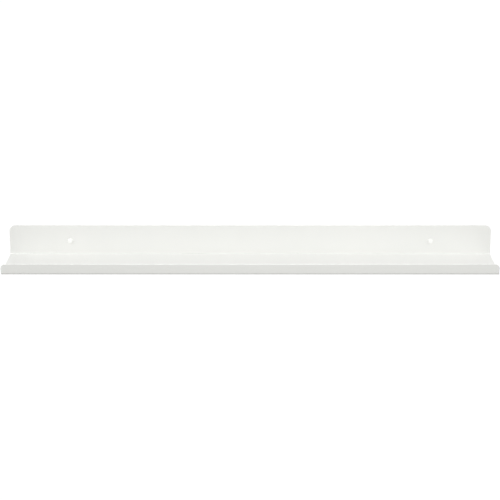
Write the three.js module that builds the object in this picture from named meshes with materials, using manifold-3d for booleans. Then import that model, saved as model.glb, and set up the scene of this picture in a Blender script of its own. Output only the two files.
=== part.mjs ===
// Floating picture ledge, folded from one steel sheet and screwed to a wall through two holes.
// Millimetres. +X runs along the ledge, +Y into the wall, +Z up.
// The origin lies on the wall's face, midway between the two screw holes.
import * as THREE from "three";
import { mergeVertices } from "three/addons/utils/BufferGeometryUtils.js";
import Module from "manifold-3d";

// Folded sheet
const LEDGE_LENGTH = 600;
const LEDGE_DEPTH = 80;
const BACK_HEIGHT = 38.5;
const LIP_HEIGHT = 13;
const SHEET_THICKNESS = 1.5;
const BEND_INNER_RADIUS = 1;
const BACK_CORNER_RADIUS = 8;
const LIP_CORNER_RADIUS = 5;
const EDGE_RADIUS = 0.3;

// Screw holes in the back plate
const HOLE_FROM_END = 75;
const HOLE_BELOW_TOP = 20;
const HOLE_CLEARANCE = 1;

// Pan-head screw
const SCREW_DIAMETER = 3;
const SCREW_LENGTH = 30;
const SCREW_POINT = 4.5;
const HEAD_DIAMETER = 6;
const HEAD_HEIGHT = 2.2;
const HEAD_RIM = 0.7;
const HEAD_CROWN_RADIUS = 5;
const RECESS_ARMS = 4;
const RECESS_SPAN = 2.7;
const RECESS_SLOT = 0.6;
const RECESS_DEPTH = 1;

// Wall plug
const PLUG_DIAMETER = 5;
const PLUG_LENGTH = 25;
const PLUG_SETBACK = 3;
const PLUG_NECK = 7;
const PLUG_BORE_CLEARANCE = 0.3;
const PLUG_TOOTH_COUNT = 6;
const PLUG_TOOTH_HEIGHT = 0.35;
const PLUG_TAIL = 2.5;
const PLUG_TAIL_WALL = 0.3;
const PLUG_SLOT = 0.8;
const PLUG_FIN_LENGTH = 9;
const PLUG_FIN_HEIGHT = 0.5;
const PLUG_FIN_WIDTH = 0.8;

// Cutters reach this far past what they cut
const OVERRUN = 2;

// Smoothness of the faceted curves, in steps
const BEND_STEPS = 6;
const CORNER_STEPS = 8;
const CROWN_STEPS = 6;
const ROUND_SIDES = 32;

// Heights, radii and places that follow from the sizes above
const backTop = HOLE_BELOW_TOP;
const underside = backTop - BACK_HEIGHT;
const lipTop = underside + LIP_HEIGHT;
const bendOuterRadius = BEND_INNER_RADIUS + SHEET_THICKNESS;
const holeRadius = (SCREW_DIAMETER + HOLE_CLEARANCE) / 2;
const holeX = LEDGE_LENGTH / 2 - HOLE_FROM_END;
const boreRadius = SCREW_DIAMETER / 2 + PLUG_BORE_CLEARANCE;

const wasm = await Module();
wasm.setup();

// A closed three.js geometry as a solid that can be cut
function toSolid(geometry) {
  const bare = geometry.clone();
  bare.deleteAttribute("normal");
  bare.deleteAttribute("uv");
  const merged = mergeVertices(bare);
  return new wasm.Manifold(
    new wasm.Mesh({
      numProp: 3,
      vertProperties: merged.attributes.position.array,
      triVerts: new Uint32Array(merged.index.array),
    }),
  );
}

// A cut solid as a three.js geometry with flat shading
function toGeometry(solid) {
  const mesh = solid.getMesh();
  const shared = new THREE.BufferGeometry();
  shared.setAttribute("position", new THREE.BufferAttribute(mesh.vertProperties, 3));
  shared.setIndex(new THREE.BufferAttribute(mesh.triVerts, 1));
  const flat = shared.toNonIndexed();
  flat.computeVertexNormals();
  return flat;
}

function cutAll(geometry, cutters) {
  const cut = cutters.reduce((body, cutter) => body.subtract(toSolid(cutter)), toSolid(geometry));
  return toGeometry(cut);
}

// A local drawing plane set into the part's frame: the local x, y and z axes become these directions
function inFrame(geometry, x, y, z) {
  return geometry.applyMatrix4(new THREE.Matrix4().makeBasis(x, y, z));
}

const RIGHT = new THREE.Vector3(1, 0, 0);
const LEFT = RIGHT.clone().negate();
const TO_WALL = new THREE.Vector3(0, 1, 0);
const TO_ROOM = TO_WALL.clone().negate();
const UP = new THREE.Vector3(0, 0, 1);
const AXIS_POINT = new THREE.Vector2(0, 0);

// The sheet's side view: x is the distance from the wall, y the height
function sheetProfile() {
  const t = SHEET_THICKNESS;
  const front = LEDGE_DEPTH;
  const bendHeight = underside + bendOuterRadius;
  const backBend = bendOuterRadius;
  const lipBend = front - bendOuterRadius;
  const quarter = Math.PI / 2;
  const profile = new THREE.Shape();
  profile.moveTo(0, bendHeight);
  profile.absarc(backBend, bendHeight, bendOuterRadius, Math.PI, 3 * quarter, false);
  profile.absarc(lipBend, bendHeight, bendOuterRadius, -quarter, 0, false);
  profile.absarc(front - EDGE_RADIUS, lipTop - EDGE_RADIUS, EDGE_RADIUS, 0, quarter, false);
  profile.absarc(front - t + EDGE_RADIUS, lipTop - EDGE_RADIUS, EDGE_RADIUS, quarter, Math.PI, false);
  profile.absarc(lipBend, bendHeight, BEND_INNER_RADIUS, 0, -quarter, true);
  profile.absarc(backBend, bendHeight, BEND_INNER_RADIUS, 3 * quarter, Math.PI, true);
  profile.absarc(t - EDGE_RADIUS, backTop - EDGE_RADIUS, EDGE_RADIUS, 0, quarter, false);
  profile.absarc(EDGE_RADIUS, backTop - EDGE_RADIUS, EDGE_RADIUS, quarter, Math.PI, false);
  profile.closePath();
  return profile;
}

function foldedSheet() {
  const sheet = new THREE.ExtrudeGeometry(sheetProfile(), {
    depth: LEDGE_LENGTH,
    bevelEnabled: false,
    curveSegments: BEND_STEPS / 2,
  });
  sheet.translate(0, 0, -LEDGE_LENGTH / 2);
  return inFrame(sheet, TO_ROOM, UP, LEFT);
}

// What a rounded corner takes off a plate's end, over the plate's thickness
function cornerCutter(side, plateTop, radius, plateRear) {
  const end = (side * LEDGE_LENGTH) / 2;
  const centreX = end - side * radius;
  const centreZ = plateTop - radius;
  const offcut = new THREE.Shape();
  offcut.moveTo(centreX, plateTop);
  offcut.lineTo(centreX, plateTop + OVERRUN);
  offcut.lineTo(end + side * OVERRUN, plateTop + OVERRUN);
  offcut.lineTo(end + side * OVERRUN, centreZ);
  offcut.lineTo(end, centreZ);
  const startAngle = side > 0 ? 0 : Math.PI;
  offcut.absarc(centreX, centreZ, radius, startAngle, Math.PI / 2, side < 0);
  const cutter = new THREE.ExtrudeGeometry(offcut, {
    depth: SHEET_THICKNESS + 2 * EDGE_RADIUS,
    bevelEnabled: false,
    curveSegments: CORNER_STEPS,
  });
  cutter.translate(0, 0, -EDGE_RADIUS);
  return inFrame(cutter, RIGHT, UP, TO_ROOM).translate(0, plateRear, 0);
}

function holeCutter(x) {
  const length = SHEET_THICKNESS + 2 * OVERRUN;
  const cutter = new THREE.CylinderGeometry(holeRadius, holeRadius, length, ROUND_SIDES);
  return cutter.translate(x, -SHEET_THICKNESS / 2, 0);
}

function ledgeGeometry() {
  const lipRear = SHEET_THICKNESS - LEDGE_DEPTH;
  const cutters = [];
  for (const side of [-1, 1]) {
    cutters.push(cornerCutter(side, backTop, BACK_CORNER_RADIUS, 0));
    cutters.push(cornerCutter(side, lipTop, LIP_CORNER_RADIUS, lipRear));
    cutters.push(holeCutter(side * holeX));
  }
  return cutAll(foldedSheet(), cutters);
}

// The domed front of the head, from the axis out to the rim; y = 0 is the plate's front face
function headCrown(rimRadius) {
  const centreY = HEAD_CROWN_RADIUS - HEAD_HEIGHT;
  const rimAngle = Math.asin((rimRadius - HEAD_RIM / 2) / HEAD_CROWN_RADIUS);
  const points = [];
  for (let i = 0; i <= CROWN_STEPS; i += 1) {
    const angle = (rimAngle * i) / CROWN_STEPS;
    const radius = HEAD_CROWN_RADIUS * Math.sin(angle);
    points.push(new THREE.Vector2(radius, centreY - HEAD_CROWN_RADIUS * Math.cos(angle)));
  }
  return points;
}

// A plus-shaped driver recess, cut into the head from the front
function recessCutter() {
  const reach = RECESS_SPAN / 2;
  const half = RECESS_SLOT / 2;
  const armCorners = [[reach, -half], [reach, half], [half, half]];
  const corners = [];
  for (let arm = 0; arm < RECESS_ARMS; arm += 1) {
    const turn = (arm * 2 * Math.PI) / RECESS_ARMS;
    for (const [along, across] of armCorners) {
      corners.push(new THREE.Vector2(along, across).rotateAround(AXIS_POINT, turn));
    }
  }
  const depth = RECESS_DEPTH + OVERRUN;
  const cutter = new THREE.ExtrudeGeometry(new THREE.Shape(corners), { depth, bevelEnabled: false });
  return inFrame(cutter, RIGHT, UP, TO_ROOM).translate(0, RECESS_DEPTH - HEAD_HEIGHT, 0);
}

// The screw along +Y, with the underside of its head at y = 0
function screwGeometry() {
  const rimRadius = HEAD_DIAMETER / 2;
  const shankRadius = SCREW_DIAMETER / 2;
  const outline = headCrown(rimRadius);
  outline.push(new THREE.Vector2(rimRadius, -HEAD_RIM));
  outline.push(new THREE.Vector2(rimRadius, 0));
  outline.push(new THREE.Vector2(shankRadius, 0));
  outline.push(new THREE.Vector2(shankRadius, SCREW_LENGTH - SCREW_POINT));
  outline.push(new THREE.Vector2(0, SCREW_LENGTH));
  return cutAll(new THREE.LatheGeometry(outline, ROUND_SIDES), [recessCutter()]);
}

// The plug's wall in section, from its mouth at y = 0 round its teeth and tail and back up the bore
function plugSection() {
  const outer = PLUG_DIAMETER / 2;
  const root = outer - PLUG_TOOTH_HEIGHT;
  const toothPitch = (PLUG_LENGTH - PLUG_NECK - PLUG_TAIL) / PLUG_TOOTH_COUNT;
  const section = [new THREE.Vector2(boreRadius, 0), new THREE.Vector2(outer, 0)];
  section.push(new THREE.Vector2(outer, PLUG_NECK));
  for (let tooth = 0; tooth < PLUG_TOOTH_COUNT; tooth += 1) {
    const start = PLUG_NECK + tooth * toothPitch;
    section.push(new THREE.Vector2(root, start));
    section.push(new THREE.Vector2(outer, start + toothPitch));
  }
  section.push(new THREE.Vector2(boreRadius + PLUG_TAIL_WALL, PLUG_LENGTH));
  section.push(new THREE.Vector2(boreRadius, PLUG_LENGTH));
  section.push(new THREE.Vector2(boreRadius, 0));
  return section;
}

// A fin on the back of one leg, highest at the neck, that keeps the plug from turning in its hole
function plugFin(turn) {
  const outer = PLUG_DIAMETER / 2;
  const insideWall = (boreRadius + outer - PLUG_TOOTH_HEIGHT) / 2;
  const fin = new THREE.Shape();
  fin.moveTo(PLUG_NECK, insideWall);
  fin.lineTo(PLUG_NECK + PLUG_FIN_LENGTH, insideWall);
  fin.lineTo(PLUG_NECK + PLUG_FIN_LENGTH, outer);
  fin.lineTo(PLUG_NECK, outer + PLUG_FIN_HEIGHT);
  fin.closePath();
  const wedge = new THREE.ExtrudeGeometry(fin, { depth: PLUG_FIN_WIDTH, bevelEnabled: false });
  wedge.translate(0, 0, -PLUG_FIN_WIDTH / 2);
  return inFrame(wedge, TO_WALL, UP, RIGHT).rotateY(turn);
}

// The plug along +Y, its toothed part split into two legs that the screw spreads
function plugGeometry() {
  const sleeve = toSolid(new THREE.LatheGeometry(plugSection(), ROUND_SIDES));
  const slotLength = PLUG_LENGTH - PLUG_NECK + OVERRUN;
  const slot = new THREE.BoxGeometry(PLUG_DIAMETER + OVERRUN, slotLength, PLUG_SLOT);
  slot.translate(0, PLUG_NECK + slotLength / 2, 0);
  const finned = sleeve.add(toSolid(plugFin(0))).add(toSolid(plugFin(Math.PI)));
  return toGeometry(finned.subtract(toSolid(slot)));
}

// Finishes
function powderCoat() {
  return new THREE.MeshStandardMaterial({ color: "#f1f2ed", roughness: 0.4, metalness: 0 });
}

function whiteLacquer() {
  return new THREE.MeshStandardMaterial({ color: "#f6f7f4", roughness: 0.3, metalness: 0 });
}

function nylon() {
  return new THREE.MeshStandardMaterial({ color: "#b9bcbc", roughness: 0.55, metalness: 0 });
}

function addPiece(group, name, geometry, material, x, y) {
  const piece = new THREE.Mesh(geometry, material);
  piece.name = name;
  piece.position.set(x, y, 0);
  group.add(piece);
}

const group = new THREE.Group();
addPiece(group, "ledge", ledgeGeometry(), powderCoat(), 0, 0);

const fixings = new THREE.Group();
const screw = screwGeometry();
const plug = plugGeometry();
const screwMaterial = whiteLacquer();
const plugMaterial = nylon();
for (const [name, side] of [["left", -1], ["right", 1]]) {
  const x = side * holeX;
  addPiece(fixings, `screw_${name}`, screw, screwMaterial, x, -SHEET_THICKNESS);
  addPiece(fixings, `wall_plug_${name}`, plug, plugMaterial, x, PLUG_SETBACK);
}
group.add(fixings);

export default group;
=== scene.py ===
import math

import bmesh
import bpy
from mathutils import Matrix, Vector


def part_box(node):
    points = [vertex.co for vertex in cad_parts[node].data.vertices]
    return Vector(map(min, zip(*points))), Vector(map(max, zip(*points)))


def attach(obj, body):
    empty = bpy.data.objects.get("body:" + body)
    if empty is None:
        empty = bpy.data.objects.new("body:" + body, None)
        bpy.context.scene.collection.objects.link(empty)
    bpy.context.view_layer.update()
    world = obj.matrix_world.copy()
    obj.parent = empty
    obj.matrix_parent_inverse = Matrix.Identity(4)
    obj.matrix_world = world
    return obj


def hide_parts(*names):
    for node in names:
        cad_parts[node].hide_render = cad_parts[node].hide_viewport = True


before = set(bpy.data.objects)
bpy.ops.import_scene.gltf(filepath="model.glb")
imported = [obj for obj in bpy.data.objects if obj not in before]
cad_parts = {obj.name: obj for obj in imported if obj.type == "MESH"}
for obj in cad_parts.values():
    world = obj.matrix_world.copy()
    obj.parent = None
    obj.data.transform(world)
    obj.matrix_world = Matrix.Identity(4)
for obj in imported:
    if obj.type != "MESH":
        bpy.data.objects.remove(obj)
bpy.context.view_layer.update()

MM = 0.001
QUARTER = math.pi / 2
# How far a cutter reaches past what it cuts
OVERRUN = 2 * MM

# Folded sheet: what the frame gives
sheet_low, sheet_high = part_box("ledge")
LEDGE_LENGTH = sheet_high.x - sheet_low.x
LEDGE_DEPTH = sheet_high.y - sheet_low.y
BACK_HEIGHT = sheet_high.z - sheet_low.z
BACK_TOP = sheet_high.z

# Folded sheet: what its box can't give
SHEET_THICKNESS = 1.5 * MM
BEND_RADIUS = 2.5 * MM
LIP_HEIGHT = 13 * MM
BACK_CORNER_RADIUS = 8 * MM
LIP_CORNER_RADIUS = 5 * MM
ARRIS_RADIUS = 0.3 * MM
ARRIS_ROWS = 3
ARRIS_ANGLE = math.radians(40)
HOLE_RADIUS = 2 * MM
PUNCH_DEPTH = 4 * SHEET_THICKNESS
BACK_STRAIGHT = BACK_HEIGHT - BACK_CORNER_RADIUS - BEND_RADIUS
TRAY_STRAIGHT = LEDGE_DEPTH - 2 * BEND_RADIUS
LIP_STRAIGHT = LIP_HEIGHT - LIP_CORNER_RADIUS - BEND_RADIUS

# Pan-head screws
left_low, left_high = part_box("screw_left")
right_low, right_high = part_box("screw_right")
HOLE_SPACING = (right_low.x + right_high.x - left_low.x - left_high.x) / 2
HEAD_RADIUS = (left_high.x - left_low.x) / 2
HEAD_RIM = 0.7 * MM
HEAD_UNDERCUT = 0.15 * MM
# Nearly flat up to its edge, so that the whole crown shines like the photograph's white dots
HEAD_CROWN_RADIUS = 40 * MM
CROWN_EDGE_RADIUS = 2.72 * MM
SCREW_POINT = 4.5 * MM
SCREW_TIP_SHARE = 0.08
NECK_LENGTH = 1.6 * MM
# The head's core reaches as far into the thread as the neck is long
HEAD_CORE_LENGTH = 2 * NECK_LENGTH
THREAD_PITCH = 1.35 * MM
THREAD_RADIUS = 1.5 * MM
THREAD_OVERLAP = 0.02 * MM
THREAD_ROWS = 200
CORE_RADIUS = 1.05 * MM
RIDGE_SHARE = 0.5
RECESS_ARMS = 4
RECESS_SPAN = 2.6 * MM
RECESS_WIDTH = 0.5 * MM
RECESS_DEPTH = 0.3 * MM
RECESS_FLOOR_SHARE = 0.6
SCREW_SHARP_ANGLE = math.radians(38)

# Wall plugs
plug_low, plug_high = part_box("wall_plug_left")
PLUG_RADIUS = (plug_high.x - plug_low.x) / 2
PLUG_LENGTH = plug_high.y - plug_low.y
PLUG_SETBACK = plug_low.y
PLUG_BORE_RADIUS = 1.8 * MM
PLUG_NECK = 7 * MM
PLUG_TAIL = 2.5 * MM
PLUG_TAIL_WALL = 0.3 * MM
PLUG_TEETH = 6
PLUG_TOOTH_HEIGHT = 0.35 * MM
PLUG_SLOT = 0.8 * MM
PLUG_FIN_LENGTH = 9 * MM
PLUG_FIN_HEIGHT = 0.5 * MM
PLUG_FIN_WIDTH = 0.8 * MM
PLUG_CHAMFER = 0.12 * MM
PLUG_SHARP_ANGLE = math.radians(30)

# Rows and sides of faces
CORNER_ROWS = 14
BEND_ROWS = 10
ROUND_SIDES = 32
CROWN_ROWS = 8

# Directions of a walk along the sheet's end, as (inset from the end, depth, height)
OUTWARD = Vector((-1, 0, 0))
INWARD = Vector((1, 0, 0))
TO_ROOM = Vector((0, -1, 0))
DOWN = Vector((0, 0, -1))
UP = Vector((0, 0, 1))

# Camera, fitted to the edges in the photograph
VIEW_TARGET = Vector((-0.00023, -0.040, 0.00022))
VIEW_ELEVATION = math.radians(17.77)
VIEW_ROLL = math.radians(0.010)
VIEW_DISTANCE = 1.890
VIEW_LENS = 111.1

# Light and backdrop
FLOOR_HEIGHT = -1.3
FLOOR_SIDE = 30.0
FLOOR_TONE = "#D8D8D4"
FLOOR_WHITE_SHARE = 0.9
FLOOR_WHITE = 1.12
FILL_STRENGTH = 0.522
# Name, degrees above the horizon and to the right, distance and size in metres, watts
SOFTBOXES = (
    ("left_key", 35, -60, 1.4, (0.8, 0.8), 6.92),
    ("right_key", 35, 60, 1.4, (0.8, 0.8), 6.7),
    ("front_fill", 10, 5, 0.8, (0.4, 0.3), 0.88),
    ("rear", 60, 180, 1.4, (1.0, 0.8), 1.12),
    ("rim", 35, 180, 1.4, (0.65, 0.4), 5.97),
)


def linear(hex_colour):
    """An sRGB hex colour as linear red, green, blue and a full alpha."""
    shares = [int(hex_colour[i:i + 2], 16) / 255 for i in (1, 3, 5)]
    return [c / 12.92 if c <= 0.04045 else ((c + 0.055) / 1.055) ** 2.4 for c in shares] + [1.0]


def add_node(tree, kind, feeds=None, **settings):
    """Add a node with its settings; feeds give inputs a value, a socket or a node's live output."""
    made = tree.nodes.new(kind)
    for name, value in settings.items():
        setattr(made, name, value)
    for key, value in (feeds or {}).items():
        if isinstance(value, bpy.types.Node):
            value = next(socket for socket in value.outputs if socket.enabled)
        if isinstance(value, bpy.types.NodeSocket):
            tree.links.new(value, made.inputs[key])
        else:
            made.inputs[key].default_value = value
    return made


def maths(tree, operation, first, second=0.0, **settings):
    return add_node(tree, "ShaderNodeMath", {0: first, 1: second}, operation=operation, **settings)


def ramp(tree, value, given, wanted):
    """Carry a value from the given range over to the wanted one, and hold it at the ends."""
    return add_node(tree, "ShaderNodeMapRange", {
        "Value": value, "From Min": given[0], "From Max": given[1],
        "To Min": wanted[0], "To Max": wanted[1],
    })


def vector_scaled(tree, vector, factor):
    feeds = {0: vector, "Scale": factor}
    return add_node(tree, "ShaderNodeVectorMath", feeds, operation="SCALE")


def vector_sum(tree, first, second):
    return add_node(tree, "ShaderNodeVectorMath", {0: first, 1: second}, operation="ADD")


def point_place(tree):
    """The X, Y and Z of each point of the mesh that the tree works on."""
    position = add_node(tree, "GeometryNodeInputPosition")
    return add_node(tree, "ShaderNodeSeparateXYZ", {0: position}).outputs


# Finishes

CLEAR_COAT_ROUGHNESS = 0.12
SKIN_DETAIL = 3.0
# Where nearly all values of the mottling noise lie
MOTTLE_RANGE = (0.3, 0.7)


def new_material(name):
    material = bpy.data.materials.new(name)
    material.use_nodes = True
    material.node_tree.nodes.clear()
    return material


def coated_finish(name, tones, mottle, gloss, grain, relief, metallic=0.0, clear_coat=0.0):
    """Two close tones mottled together, uneven gloss and a fine relief, all on Object coordinates.

    Mottle and grain are how wide the patches of tone and the bumps are, gloss is the range of
    roughness, and relief is how high the bumps stand.
    """
    material = new_material(name)
    tree = material.node_tree
    place = add_node(tree, "ShaderNodeTexCoord").outputs["Object"]
    drift = add_node(tree, "ShaderNodeTexNoise", {"Vector": place, "Scale": 1 / mottle}).outputs[0]
    skin = add_node(tree, "ShaderNodeTexNoise", {
        "Vector": place, "Scale": 1 / grain, "Detail": SKIN_DETAIL,
    }).outputs[0]
    # Inputs 6 and 7 are the two colours
    colour = add_node(tree, "ShaderNodeMix", {
        0: drift, 6: linear(tones[0]), 7: linear(tones[1]),
    }, data_type="RGBA")
    bump = add_node(tree, "ShaderNodeBump", {"Height": skin, "Strength": 1.0, "Distance": relief})
    shader = add_node(tree, "ShaderNodeBsdfPrincipled", {
        "Base Color": colour, "Roughness": ramp(tree, drift, MOTTLE_RANGE, gloss), "Normal": bump,
        "Metallic": metallic, "Coat Weight": clear_coat, "Coat Roughness": CLEAR_COAT_ROUGHNESS,
    })
    add_node(tree, "ShaderNodeOutputMaterial", {"Surface": shader})
    return material


def white_powder_coat():
    """Polyester powder baked on steel: warm satin white with a soft orange-peel skin.

    Real orange peel is 1 to 2 mm across; it is drawn 3 mm across, or the render would lose it.
    The tones are a little darker than the real coat's, so that the screw heads stand out from
    it as the white dots in the photograph do.
    """
    return coated_finish(
        "white_powder_coat", tones=("#EAEBE8", "#EEEEEB"), mottle=90 * MM, gloss=(0.34, 0.44),
        grain=3 * MM, relief=0.007 * MM,
    )


def white_screw_lacquer():
    """Baked lacquer on a screw head: a purer and glossier white than the sheet's."""
    return coated_finish(
        "white_screw_lacquer", tones=("#FBFBF9", "#FEFEFC"), mottle=4 * MM, gloss=(0.26, 0.34),
        grain=0.8 * MM, relief=0.006 * MM, clear_coat=1.0,
    )


def zinc_plated_steel():
    """Bright zinc over rolled thread: pale bluish metal, slightly cloudy."""
    return coated_finish(
        "zinc_plated_steel", tones=("#B9BDC2", "#D2D4D6"), mottle=6 * MM, gloss=(0.28, 0.42),
        grain=0.7 * MM, relief=0.01 * MM, metallic=1.0,
    )


def moulded_nylon():
    """Moulded polyamide: mid grey, dull, with the faint pebble of a spark-eroded mould."""
    return coated_finish(
        "moulded_nylon", tones=("#B4B7B7", "#BEC1C1"), mottle=8 * MM, gloss=(0.48, 0.6),
        grain=0.9 * MM, relief=0.02 * MM,
    )


# Making and joining shapes


def link_mesh(name, mesh):
    made = bpy.data.objects.new(name, mesh)
    bpy.context.scene.collection.objects.link(made)
    return made


def mesh_from(name, points, faces):
    mesh = bpy.data.meshes.new(name)
    mesh.from_pydata(points, [], faces)
    return mesh


def working_solid(name, points, faces, material):
    """A closed working object with its faces turned outwards."""
    mesh = mesh_from(name, points, faces)
    shell = bmesh.new()
    shell.from_mesh(mesh)
    bmesh.ops.recalc_face_normals(shell, faces=shell.faces)
    shell.to_mesh(mesh)
    shell.free()
    mesh.shade_smooth()
    mesh.materials.append(material)
    return link_mesh(name, mesh)


def new_tree(name, inputs):
    """A Geometry Nodes tree with one output and these named inputs, and its input node."""
    tree = bpy.data.node_groups.new(name, "GeometryNodeTree")
    tree.interface.new_socket("Geometry", in_out="OUTPUT", socket_type="NodeSocketGeometry")
    for label in inputs:
        kind = "NodeSocketMaterial" if label == "Material" else "NodeSocketFloat"
        tree.interface.new_socket(label, in_out="INPUT", socket_type=kind)
    return tree, add_node(tree, "NodeGroupInput").outputs


def close_tree(tree, geometry, material):
    """Every tree ends in smooth, real, painted geometry."""
    smooth = add_node(tree, "GeometryNodeSetShadeSmooth", {
        "Geometry": geometry, "Shade Smooth": True,
    })
    real = add_node(tree, "GeometryNodeRealizeInstances", {"Geometry": smooth})
    painted = add_node(tree, "GeometryNodeSetMaterial", {"Geometry": real, "Material": material})
    add_node(tree, "NodeGroupOutput", {0: painted})


def shaped_by(tree, values):
    """A working object whose mesh the tree makes from these named sizes."""
    made = link_mesh(tree.name, bpy.data.meshes.new(tree.name))
    modifier = made.modifiers.new(tree.name, "NODES")
    modifier.node_group = tree
    for item in tree.interface.items_tree:
        if item.in_out == "INPUT":
            modifier[item.identifier] = values[item.name]
    return made


def combine(base, tool, operation):
    """Cut the tool from the working object, or join it on; each keeps its own material."""
    boolean = base.modifiers.new(tool.name, "BOOLEAN")
    boolean.operation = operation
    boolean.solver = "EXACT"
    boolean.material_mode = "TRANSFER"
    boolean.object = tool


def ease_edges(working):
    """Round the sheet's cut edges, and keep flat faces flat beside them."""
    bevel = working.modifiers.new("eased_edges", "BEVEL")
    bevel.width = ARRIS_RADIUS
    bevel.segments = ARRIS_ROWS
    bevel.limit_method = "ANGLE"
    bevel.angle_limit = ARRIS_ANGLE
    working.modifiers.new("weighted_normals", "WEIGHTED_NORMAL").keep_sharp = True


def as_plain_mesh(working, tools=()):
    """The working object's final shape as a mesh of its own; it and its tools are removed."""
    bpy.context.view_layer.update()
    depsgraph = bpy.context.evaluated_depsgraph_get()
    mesh = bpy.data.meshes.new_from_object(
        working.evaluated_get(depsgraph), preserve_all_data_layers=True, depsgraph=depsgraph
    )
    for spent in (working, *tools):
        bpy.data.objects.remove(spent)
    while None in mesh.materials[:]:
        mesh.materials.pop(index=mesh.materials[:].index(None))
    return mesh


def turned(name, outline, material, closed_section=False):
    """A solid turned about the Y axis from (radius, y) points.

    An open outline starts and ends on the axis; a closed section is a ring's.
    """
    points = []
    rings = []
    for radius, along in outline:
        if radius == 0:
            rings.append([len(points)] * ROUND_SIDES)
            points.append((0, along, 0))
            continue
        rings.append(list(range(len(points), len(points) + ROUND_SIDES)))
        for side in range(ROUND_SIDES):
            angle = 2 * math.pi * side / ROUND_SIDES
            points.append((radius * math.cos(angle), along, radius * math.sin(angle)))
    if closed_section:
        rings.append(rings[0])
    faces = []
    for ring, after in zip(rings, rings[1:]):
        for side in range(ROUND_SIDES):
            other = (side + 1) % ROUND_SIDES
            corners = [ring[side], ring[other], after[other], after[side]]
            faces.append(list(dict.fromkeys(corners)))
    return working_solid(name, points, faces, material)


# The folded sheet

# Its section, as a walk from the back plate's top to the lip's: how many rows of faces, the
# input that sizes the stretch, its heading, and on a curve the heading that it turns to
STRETCHES = (
    (CORNER_ROWS, "Back corner radius", OUTWARD, DOWN),
    (1, "Back straight", DOWN, None),
    (BEND_ROWS, "Bend radius", DOWN, TO_ROOM),
    (1, "Tray straight", TO_ROOM, None),
    (BEND_ROWS, "Bend radius", TO_ROOM, UP),
    (1, "Lip straight", UP, None),
    (CORNER_ROWS, "Lip corner radius", UP, INWARD),
)


def walk_round_section(tree, sizes, row):
    """A row's place on the sheet's outer side, and how far the sheet is folded there."""
    place = add_node(tree, "ShaderNodeCombineXYZ", {
        0: sizes["Back corner radius"], 2: sizes["Back top"],
    })
    folds = []
    start = 0
    for rows, size, heading, new_heading in STRETCHES:
        reach = QUARTER if new_heading else 1.0
        progress = ramp(tree, row, (start, start + rows), (0.0, reach))
        if new_heading:
            left_over = maths(tree, "SUBTRACT", 1.0, maths(tree, "COSINE", progress))
            ahead = vector_scaled(tree, heading, maths(tree, "SINE", progress))
            aside = vector_scaled(tree, new_heading, left_over)
            step = vector_sum(tree, ahead, aside)
        else:
            step = vector_scaled(tree, heading, progress)
        if size == "Bend radius":
            folds.append(progress)
        place = vector_sum(tree, place, vector_scaled(tree, step, sizes[size]))
        start += rows
    return place, maths(tree, "ADD", *folds)


def folded_sheet_tree():
    """A flat blank with one row of faces after another, folded twice and pierced."""
    tree, sizes = new_tree("folded_sheet", (
        "Length", "Thickness", "Back top", "Back corner radius", "Back straight", "Bend radius",
        "Tray straight", "Lip straight", "Lip corner radius", "Hole radius", "Hole spacing",
        "Material",
    ))
    rows = sum(stretch[0] for stretch in STRETCHES)
    blank = add_node(tree, "GeometryNodeMeshCube", {
        "Size": (1, rows, 1), "Vertices X": 2, "Vertices Y": rows + 1, "Vertices Z": 2,
    })
    place = point_place(tree)
    row = maths(tree, "ADD", place["Y"], rows / 2)
    walked, fold = walk_round_section(tree, sizes, row)

    # The tray's side of the sheet lies one thickness in from the outer side
    layer = maths(tree, "ADD", place["Z"], 0.5)
    depth = maths(tree, "MULTIPLY", layer, sizes["Thickness"])
    inner_side = add_node(tree, "ShaderNodeVectorRotate", {
        "Vector": TO_ROOM, "Axis": INWARD, "Angle": maths(tree, "MULTIPLY", fold, -1.0),
    })
    surface = vector_sum(tree, walked, vector_scaled(tree, inner_side, depth))

    # The corner radii draw each end in towards the middle
    section = add_node(tree, "ShaderNodeSeparateXYZ", {0: surface}).outputs
    both_insets = maths(tree, "MULTIPLY", section["X"], 2.0)
    width = maths(tree, "SUBTRACT", sizes["Length"], both_insets)
    moved = add_node(tree, "ShaderNodeCombineXYZ", {
        0: maths(tree, "MULTIPLY", place["X"], width), 1: section["Y"], 2: section["Z"],
    })
    folded = add_node(tree, "GeometryNodeSetPosition", {"Geometry": blank, "Position": moved})
    outward = add_node(tree, "GeometryNodeFlipFaces", {"Mesh": folded})

    # Two screw holes on one level
    punch = add_node(tree, "GeometryNodeMeshCylinder", {
        "Vertices": ROUND_SIDES, "Radius": sizes["Hole radius"], "Depth": PUNCH_DEPTH,
    })
    half_back = maths(tree, "MULTIPLY", sizes["Hole spacing"], -0.5)
    pair = add_node(tree, "GeometryNodeMeshLine", {
        "Count": 2,
        "Start Location": add_node(tree, "ShaderNodeCombineXYZ", {0: half_back}),
        "Offset": add_node(tree, "ShaderNodeCombineXYZ", {0: sizes["Hole spacing"]}),
    })
    punches = add_node(tree, "GeometryNodeInstanceOnPoints", {
        "Points": pair, "Instance": punch, "Rotation": (QUARTER, 0, 0),
    })
    pierced = add_node(tree, "GeometryNodeMeshBoolean", {
        "Mesh 1": outward, "Mesh 2": add_node(tree, "GeometryNodeRealizeInstances", {0: punches}),
    }, operation="DIFFERENCE", solver="EXACT")
    close_tree(tree, pierced, sizes["Material"])
    return tree


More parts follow.
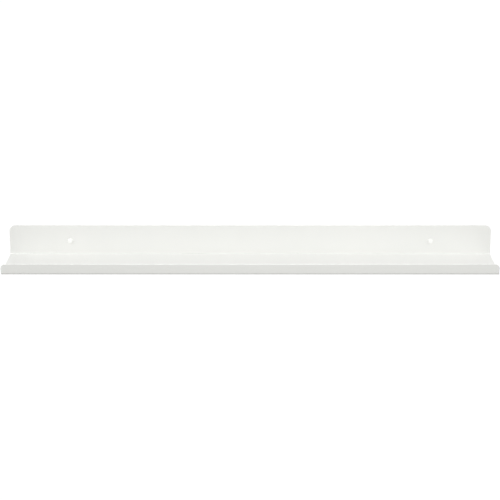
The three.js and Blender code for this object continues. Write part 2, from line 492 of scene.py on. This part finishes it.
def ledge_piece(coat):
    working = shaped_by(folded_sheet_tree(), {
        "Length": LEDGE_LENGTH,
        "Thickness": SHEET_THICKNESS,
        "Back top": BACK_TOP,
        "Back corner radius": BACK_CORNER_RADIUS,
        "Back straight": BACK_STRAIGHT,
        "Bend radius": BEND_RADIUS,
        "Tray straight": TRAY_STRAIGHT,
        "Lip straight": LIP_STRAIGHT,
        "Lip corner radius": LIP_CORNER_RADIUS,
        "Hole radius": HOLE_RADIUS,
        "Hole spacing": HOLE_SPACING,
        "Material": coat,
    })
    ease_edges(working)
    return link_mesh("folded_ledge", as_plain_mesh(working))


# Pan-head screws


def screw_head(lacquer):
    """Pan head and neck, turned in one from the crown's middle to the core inside the thread."""
    front = left_low.y
    seat = -SHEET_THICKNESS
    edge_angle = math.asin(CROWN_EDGE_RADIUS / HEAD_CROWN_RADIUS)
    outline = []
    for row in range(CROWN_ROWS + 1):
        angle = edge_angle * row / CROWN_ROWS
        fall = HEAD_CROWN_RADIUS * (1 - math.cos(angle))
        outline.append((HEAD_CROWN_RADIUS * math.sin(angle), front + fall))
    crown_edge = outline[-1][1]
    rim = seat - HEAD_RIM
    for row in range(1, CROWN_ROWS + 1):
        angle = QUARTER * row / CROWN_ROWS
        radius = CROWN_EDGE_RADIUS + (HEAD_RADIUS - CROWN_EDGE_RADIUS) * math.sin(angle)
        outline.append((radius, crown_edge + (rim - crown_edge) * (1 - math.cos(angle))))
    core_end = seat + HEAD_CORE_LENGTH
    outline += [
        (HEAD_RADIUS, seat - HEAD_UNDERCUT), (HEAD_RADIUS - HEAD_UNDERCUT, seat),
        (CORE_RADIUS, seat), (CORE_RADIUS, core_end), (0, core_end),
    ]
    return turned("screw_head", outline, lacquer)


def cross_recess(lacquer):
    """The driver recess: a plus-shaped cutter that narrows towards its floor."""
    reach = RECESS_SPAN / 2
    half = RECESS_WIDTH / 2
    front = left_low.y
    layers = ((1.0, front - OVERRUN), (1.0, front), (RECESS_FLOOR_SHARE, front + RECESS_DEPTH))
    points = []
    for share, y in layers:
        for arm in range(RECESS_ARMS):
            cos, sin = round(math.cos(QUARTER * arm)), round(math.sin(QUARTER * arm))
            for along, across in ((reach, -half), (reach, half), (half, half)):
                x, z = along * share, across * share
                points.append((x * cos - z * sin, y, x * sin + z * cos))
    sides = len(points) // len(layers)
    faces = [list(range(sides)), list(range(len(points) - sides, len(points)))]
    for layer in range(len(layers) - 1):
        for side in range(sides):
            here = layer * sides + side
            there = layer * sides + (side + 1) % sides
            faces.append([here, there, there + sides, here + sides])
    return working_solid("cross_recess", points, faces, lacquer)


def threaded_rod_tree():
    """A rod whose skin rises in one helical ridge, from the neck down to the tip of the point."""
    tree, sizes = new_tree("threaded_rod", (
        "Start", "Length", "Point length", "Core radius", "Crest radius", "Pitch", "Ridge share",
        "Tip share", "Material",
    ))
    rod = add_node(tree, "GeometryNodeMeshCylinder", {
        "Vertices": ROUND_SIDES, "Side Segments": THREAD_ROWS, "Radius": 1, "Depth": 1,
    })
    place = point_place(tree)
    along = maths(tree, "MULTIPLY", maths(tree, "ADD", place["Z"], 0.5), sizes["Length"])
    turns = maths(tree, "DIVIDE", maths(tree, "ARCTAN2", place["Y"], place["X"]), 2 * math.pi)
    pitches = maths(tree, "DIVIDE", along, sizes["Pitch"])
    wave = maths(tree, "FRACT", maths(tree, "SUBTRACT", pitches, turns))
    off_crest = maths(tree, "ABSOLUTE", maths(tree, "SUBTRACT", wave, 0.5))
    half_ridge = maths(tree, "MULTIPLY", sizes["Ridge share"], 0.5)
    ridge = ramp(tree, off_crest, (0.0, half_ridge), (1.0, 0.0))
    run_in = ramp(tree, along, (0.0, sizes["Pitch"]), (0.0, 1.0))
    rise = maths(tree, "MULTIPLY", ridge, run_in)
    full_radius = ramp(tree, rise, (0.0, 1.0), (sizes["Core radius"], sizes["Crest radius"]))
    point_start = maths(tree, "SUBTRACT", sizes["Length"], sizes["Point length"])
    taper = ramp(tree, along, (point_start, sizes["Length"]), (1.0, sizes["Tip share"]))
    radius = maths(tree, "MULTIPLY", full_radius, taper)
    moved = add_node(tree, "ShaderNodeCombineXYZ", {
        0: maths(tree, "MULTIPLY", place["X"], radius),
        1: maths(tree, "ADD", along, sizes["Start"]),
        2: maths(tree, "MULTIPLY", place["Y"], maths(tree, "MULTIPLY", radius, -1.0)),
    })
    threaded = add_node(tree, "GeometryNodeSetPosition", {"Geometry": rod, "Position": moved})
    close_tree(tree, threaded, sizes["Material"])
    return tree


def screw_mesh(lacquer, zinc):
    """One screw on the Y axis."""
    rod_start = NECK_LENGTH - SHEET_THICKNESS
    rod = shaped_by(threaded_rod_tree(), {
        "Start": rod_start,
        "Length": left_high.y - rod_start,
        "Point length": SCREW_POINT,
        "Core radius": CORE_RADIUS + THREAD_OVERLAP,
        "Crest radius": THREAD_RADIUS,
        "Pitch": THREAD_PITCH,
        "Ridge share": RIDGE_SHARE,
        "Tip share": SCREW_TIP_SHARE,
        "Material": zinc,
    })
    head = screw_head(lacquer)
    recess = cross_recess(lacquer)
    combine(head, recess, "DIFFERENCE")
    combine(head, rod, "UNION")
    mesh = as_plain_mesh(head, (recess, rod))
    mesh.set_sharp_from_angle(angle=SCREW_SHARP_ANGLE)
    return mesh


# Wall plugs


def prism(name, outline, half_width, material):
    """A solid with this (z, y) outline, as wide to the left as to the right of the plug's axis."""
    points = [(x, y, z) for x in (-half_width, half_width) for z, y in outline]
    corners = len(outline)
    faces = [list(range(corners)), list(range(corners, 2 * corners))]
    for here in range(corners):
        there = (here + 1) % corners
        faces.append([here, there, there + corners, here + corners])
    return working_solid(name, points, faces, material)


def plug_slot(nylon):
    """What splits the plug's toothed part into two legs."""
    start = PLUG_SETBACK + PLUG_NECK
    end = PLUG_SETBACK + PLUG_LENGTH + OVERRUN
    half = PLUG_SLOT / 2
    outline = [(-half, start), (half, start), (half, end), (-half, end)]
    return prism("slot", outline, PLUG_RADIUS + OVERRUN, nylon)


def plug_fin(side, nylon):
    """A fin on the back of one leg, highest at the neck."""
    start = PLUG_SETBACK + PLUG_NECK
    end = start + PLUG_FIN_LENGTH
    inside_wall = (PLUG_BORE_RADIUS + PLUG_RADIUS - PLUG_TOOTH_HEIGHT) / 2
    outline = [
        (side * inside_wall, start), (side * (PLUG_RADIUS + PLUG_FIN_HEIGHT), start),
        (side * PLUG_RADIUS, end), (side * inside_wall, end),
    ]
    return prism("fin", outline, PLUG_FIN_WIDTH / 2, nylon)


def plug_mesh(nylon):
    """One split plug on the Y axis: a plain neck, then a row of teeth on two legs."""
    root = PLUG_RADIUS - PLUG_TOOTH_HEIGHT
    pitch = (PLUG_LENGTH - PLUG_NECK - PLUG_TAIL) / PLUG_TEETH
    section = [
        (PLUG_BORE_RADIUS, PLUG_CHAMFER), (PLUG_BORE_RADIUS + PLUG_CHAMFER, 0),
        (PLUG_RADIUS - PLUG_CHAMFER, 0), (PLUG_RADIUS, PLUG_CHAMFER), (PLUG_RADIUS, PLUG_NECK),
    ]
    for tooth in range(PLUG_TEETH):
        start = PLUG_NECK + tooth * pitch
        section.append((root, start + PLUG_CHAMFER))
        section.append((PLUG_RADIUS, start + pitch - PLUG_CHAMFER))
        section.append((PLUG_RADIUS, start + pitch))
    section.append((PLUG_BORE_RADIUS + PLUG_TAIL_WALL, PLUG_LENGTH))
    section.append((PLUG_BORE_RADIUS, PLUG_LENGTH))
    placed = [(radius, PLUG_SETBACK + along) for radius, along in section]
    sleeve = turned("sleeve", placed, nylon, closed_section=True)

    fins = [plug_fin(side, nylon) for side in (-1, 1)]
    for fin in fins:
        combine(sleeve, fin, "UNION")
    slot = plug_slot(nylon)
    combine(sleeve, slot, "DIFFERENCE")
    mesh = as_plain_mesh(sleeve, [*fins, slot])
    mesh.set_sharp_from_angle(angle=PLUG_SHARP_ANGLE)
    return mesh


def placed_copy(name, mesh, x):
    """A finished piece from this mesh, moved along the hole line inside its own mesh."""
    own = mesh.copy()
    own.transform(Matrix.Translation((x, 0, 0)))
    return link_mesh(name, own)


# Camera, light and backdrop


def add_camera():
    camera = bpy.data.objects.new("camera", bpy.data.cameras.new("camera"))
    camera.data.lens = VIEW_LENS
    backwards = Vector((0, -math.cos(VIEW_ELEVATION), math.sin(VIEW_ELEVATION)))
    pitch = Matrix.Rotation(QUARTER - VIEW_ELEVATION, 4, "X")
    roll = Matrix.Rotation(VIEW_ROLL, 4, "Z")
    camera.matrix_world = Matrix.Translation(VIEW_TARGET + backwards * VIEW_DISTANCE) @ pitch @ roll
    bpy.context.scene.collection.objects.link(camera)
    bpy.context.scene.camera = camera


def seen_directly(tree, share=1.0):
    """The share that camera, glossy and transmission rays take; rays that light things take 0."""
    rays = add_node(tree, "ShaderNodeLightPath").outputs
    seen = maths(tree, "ADD", rays["Is Camera Ray"], rays["Is Glossy Ray"])
    either = maths(tree, "ADD", seen, rays["Is Transmission Ray"], use_clamp=True)
    return maths(tree, "MULTIPLY", either, share)


def light_the_world():
    world = bpy.data.worlds.new("studio")
    world.use_nodes = True
    tree = world.node_tree
    tree.nodes.clear()
    white = linear("#FFFFFF")
    fill = add_node(tree, "ShaderNodeBackground", {"Color": white, "Strength": FILL_STRENGTH})
    backdrop = add_node(tree, "ShaderNodeBackground", {"Color": white, "Strength": 1.0})
    mixed = add_node(tree, "ShaderNodeMixShader", {0: seen_directly(tree), 1: fill, 2: backdrop})
    add_node(tree, "ShaderNodeOutputWorld", {"Surface": mixed})
    bpy.context.scene.world = world


def pale_floor():
    half = FLOOR_SIDE / 2
    square = ((-half, -half), (half, -half), (half, half), (-half, half))
    corners = [(x, y, FLOOR_HEIGHT) for x, y in square]
    floor = link_mesh("floor", mesh_from("floor", corners, [(0, 1, 2, 3)]))
    material = new_material("pale_floor")
    tree = material.node_tree
    matt = add_node(tree, "ShaderNodeBsdfDiffuse", {"Color": linear(FLOOR_TONE)})
    white = add_node(tree, "ShaderNodeEmission", {
        "Color": linear("#FFFFFF"), "Strength": FLOOR_WHITE,
    })
    whiteness = seen_directly(tree, FLOOR_WHITE_SHARE)
    mixed = add_node(tree, "ShaderNodeMixShader", {0: whiteness, 1: matt, 2: white})
    add_node(tree, "ShaderNodeOutputMaterial", {"Surface": mixed})
    floor.data.materials.append(material)


def add_softbox(name, elevation, turn, distance, size, watts):
    """A soft light that looks at the ledge from this height and turn."""
    light = bpy.data.lights.new(name, "AREA")
    light.shape = "RECTANGLE"
    light.size, light.size_y = size
    light.energy = watts
    rise, swing = math.radians(elevation), math.radians(turn)
    level = math.cos(rise)
    towards = Vector((level * math.sin(swing), -level * math.cos(swing), math.sin(rise)))
    softbox = bpy.data.objects.new(name, light)
    aim = (-towards).to_track_quat("-Z", "Y").to_matrix().to_4x4()
    softbox.matrix_world = Matrix.Translation(VIEW_TARGET + towards * distance) @ aim
    bpy.context.scene.collection.objects.link(softbox)


bpy.context.scene.view_settings.view_transform = "Standard"
add_camera()
light_the_world()
pale_floor()
for softbox_settings in SOFTBOXES:
    add_softbox(*softbox_settings)

ledge = ledge_piece(white_powder_coat())
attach(ledge, "root")
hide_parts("ledge")

screw = screw_mesh(white_screw_lacquer(), zinc_plated_steel())
plug = plug_mesh(moulded_nylon())
for hand, sign in (("left", -1), ("right", 1)):
    hole_x = sign * HOLE_SPACING / 2
    screw_piece = placed_copy(f"pan_head_screw_{hand}", screw, hole_x)
    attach(screw_piece, "root")
    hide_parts(f"screw_{hand}")
    plug_piece = placed_copy(f"split_plug_{hand}", plug, hole_x)
    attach(plug_piece, "root")
    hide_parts(f"wall_plug_{hand}")
